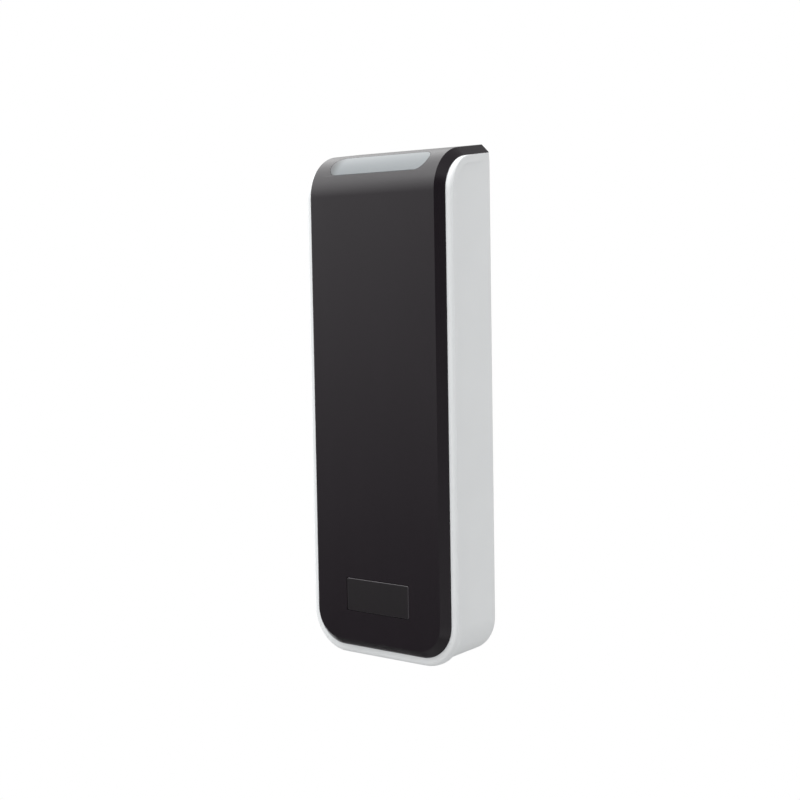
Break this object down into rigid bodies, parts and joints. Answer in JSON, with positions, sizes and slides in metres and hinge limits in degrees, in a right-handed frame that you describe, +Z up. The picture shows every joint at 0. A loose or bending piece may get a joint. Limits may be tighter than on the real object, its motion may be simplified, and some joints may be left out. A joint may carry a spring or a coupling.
{
  "type": "rfid card reader",
  "caption": "Narrow wall-mounted RFID card reader with a smoked cover over a white housing, on a hook-on wall plate with tamper plunger and security screw.",
  "frame": {"origin": "centre of the wall plate's back face, on the wall plane", "axes": "+Z up along the reader's height, +Y into the wall, front face towards -Y, +X to the right seen from the front"},
  "size_m": [0.0556, 0.0233, 0.1499],
  "materials": {
    "white_plastic": "fine satin moulding, white",
    "smoked_cover": "dark smoked plastic, satin gloss",
    "light_window": "translucent bluish grey diffuser",
    "badge_plastic": "dark satin plate, plain",
    "adhesive": "acrylic tape",
    "black_plastic": "moulded, fine texture",
    "plate_plastic": "glass-filled moulding, dark grey",
    "black_rubber": "soft moulded rubber",
    "light_guide": "milky acrylic",
    "white_board": "white solder mask",
    "green_board": "green solder mask on glass epoxy",
    "coil_copper": "copper traces",
    "ferrite": "dark grey ferrite",
    "chip_resin": "black epoxy",
    "capacitor_ceramic": "tan ceramic",
    "tin_can": "tinned can",
    "nylon": "natural nylon",
    "led_resin": "white LED package",
    "terminal_plastic": "green moulding",
    "zinc_steel": "zinc-plated steel",
    "spring_steel": "spring wire",
    "stainless_screw": "stainless steel",
    "insert_brass": "turned brass"
  },
  "bodies": {
    "wall_mount": {"mounting_plate": "plate_plastic", "cable_grommet": "black_rubber", "threaded_insert": "insert_brass"},
    "reader": {"housing": "white_plastic", "front_cover": "smoked_cover", "light_window": "light_window", "rear_cover": "black_plastic", "cover_seal": "black_rubber", "badge": "badge_plastic", "badge_adhesive": "adhesive", "light_guide": "light_guide", "led_board": "white_board", "leds": "led_resin", "main_board": "green_board", "antenna_board": "green_board", "antenna_coil": "coil_copper", "ferrite_sheet": "ferrite", "board_header": "black_plastic", "board_spacers": "nylon", "board_screws": "zinc_steel", "case_screws": "zinc_steel", "controller_chip": "chip_resin", "radio_chip": "chip_resin", "crystal": "tin_can", "capacitors": "capacitor_ceramic", "voltage_regulator": "chip_resin", "power_inductor": "ferrite", "buzzer": "black_plastic", "terminal_block": "terminal_plastic", "terminal_screws": "zinc_steel", "terminal_clamps": "insert_brass", "tamper_switch": "black_plastic", "tamper_spring": "spring_steel"},
    "tamper_plunger": {"tamper_plunger": "white_plastic"},
    "screw_washer": {"screw_washer": "nylon"},
    "security_screw": {"security_screw": "stainless_screw"}
  },
  "joints": [
    {"name": "reader_swing", "type": "hinge", "parent": "wall_mount", "child": "reader", "pos_m": [0, -0.004, 0.068], "axis": [-1, 0, 0], "range_deg": [0, 6]},
    {"name": "tamper_travel", "type": "slide", "parent": "reader", "child": "tamper_plunger", "axis": [0, 1, 0], "range_m": [0, 0.0018], "stiffness_N_per_m": 15, "springref_m": 0.0018, "deforming": ["tamper_spring"]},
    {"name": "washer_travel", "type": "slide", "parent": "reader", "child": "screw_washer", "axis": [0, 0, 1], "range_m": [0, 0.0024]},
    {"name": "screw_turn", "type": "hinge", "parent": "screw_washer", "child": "security_screw", "pos_m": [0, -0.0065, -0.0715], "axis": [0, 0, 1], "range_deg": [0, 1729]}
  ],
  "couplings": [
    {"joint": "screw_turn", "follows": "washer_travel", "rad_per_m": 12566}
  ]
}
